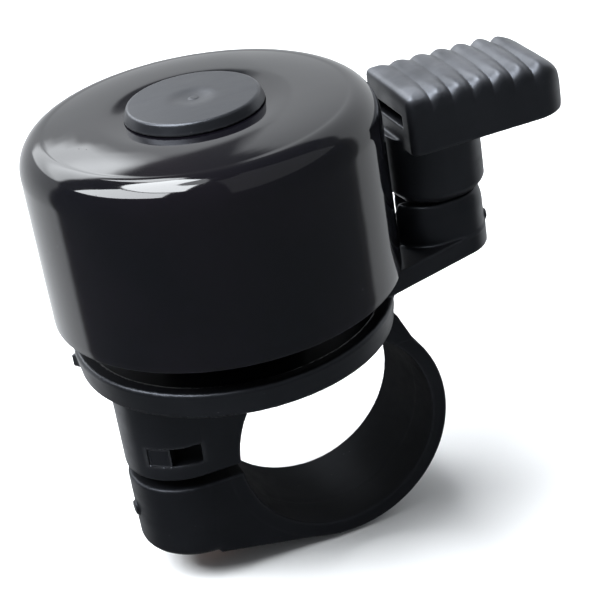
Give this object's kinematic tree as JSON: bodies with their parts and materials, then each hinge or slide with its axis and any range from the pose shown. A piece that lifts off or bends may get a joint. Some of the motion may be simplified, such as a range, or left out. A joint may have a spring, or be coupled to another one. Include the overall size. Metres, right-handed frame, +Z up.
{
  "type": "bicycle bell",
  "caption": "Small handlebar bell: cup gong on a round base, ridged thumb lever on a sprung post at its side, and a screw-closed strap clamp below.",
  "frame": {"origin": "centre of the handlebar clamp bore", "axes": "+Y along the handlebar, +X from the clamp screw towards the lever post, +Z up along the gong's axis"},
  "size_m": [0.0573, 0.0366, 0.0516],
  "materials": {
    "gong_paint": "gloss",
    "base_plastic": "satin",
    "lever_plastic": "satin",
    "strap_plastic": "satin",
    "cap_plastic": "satin",
    "seat_rubber": "matte",
    "zinc_steel": "zinc plated",
    "spring_steel": "bright",
    "screw_copper": "copper washed, dull"
  },
  "bodies": {
    "base": {"base_plate": "base_plastic", "gong_dome": "gong_paint", "gong_seat": "seat_rubber", "gong_isolator": "seat_rubber", "gong_washer": "zinc_steel", "gong_screw": "zinc_steel", "gong_cap": "cap_plastic", "clamp_nut": "zinc_steel", "lever_spring": "spring_steel"},
    "lever": {"thumb_lever": "lever_plastic", "lever_washer": "zinc_steel", "lever_screw": "zinc_steel", "striker_arm": "zinc_steel", "arm_rivets": "zinc_steel", "striker_leaf": "spring_steel"},
    "striker": {"striker_head": "zinc_steel", "striker_rivet": "zinc_steel"},
    "strap": {"clamp_strap": "strap_plastic"},
    "screw_slider": {"clamp_washer": "screw_copper"},
    "screw": {"clamp_screw": "screw_copper"}
  },
  "joints": [
    {"name": "lever_turn", "type": "hinge", "parent": "base", "child": "lever", "pos_m": [0.0179, 0, 0.0212], "axis": [0, 0, 1], "range_deg": [0, 28], "stiffness_Nm_per_rad": 0.02, "springref_deg": -28.65, "deforming": ["lever_spring"]},
    {"name": "striker_flex", "type": "hinge", "parent": "lever", "child": "striker", "pos_m": [0.00797, 0.0044, 0.0167], "axis": [0, 0, 1], "range_deg": [-4, 3], "stiffness_Nm_per_rad": 0.003, "deforming": ["striker_leaf"]},
    {"name": "strap_open", "type": "hinge", "parent": "base", "child": "strap", "pos_m": [0.0062, 0, 0.0129], "axis": [0, -1, 0], "range_deg": [0, 3.2]},
    {"name": "screw_advance", "type": "slide", "parent": "base", "child": "screw_slider", "axis": [0, 0, -1], "range_m": [0, 0.0015]},
    {"name": "screw_turn", "type": "hinge", "parent": "screw_slider", "child": "screw", "pos_m": [-0.0152, 0, -0.0098], "axis": [0, 0, -1], "range_deg": [0, 1080]}
  ],
  "couplings": [
    {"joint": "screw_turn", "follows": "screw_advance", "rad_per_m": 12566},
    {"joint": "strap_open", "follows": "screw_advance", "rad_per_m": 37.23}
  ]
}
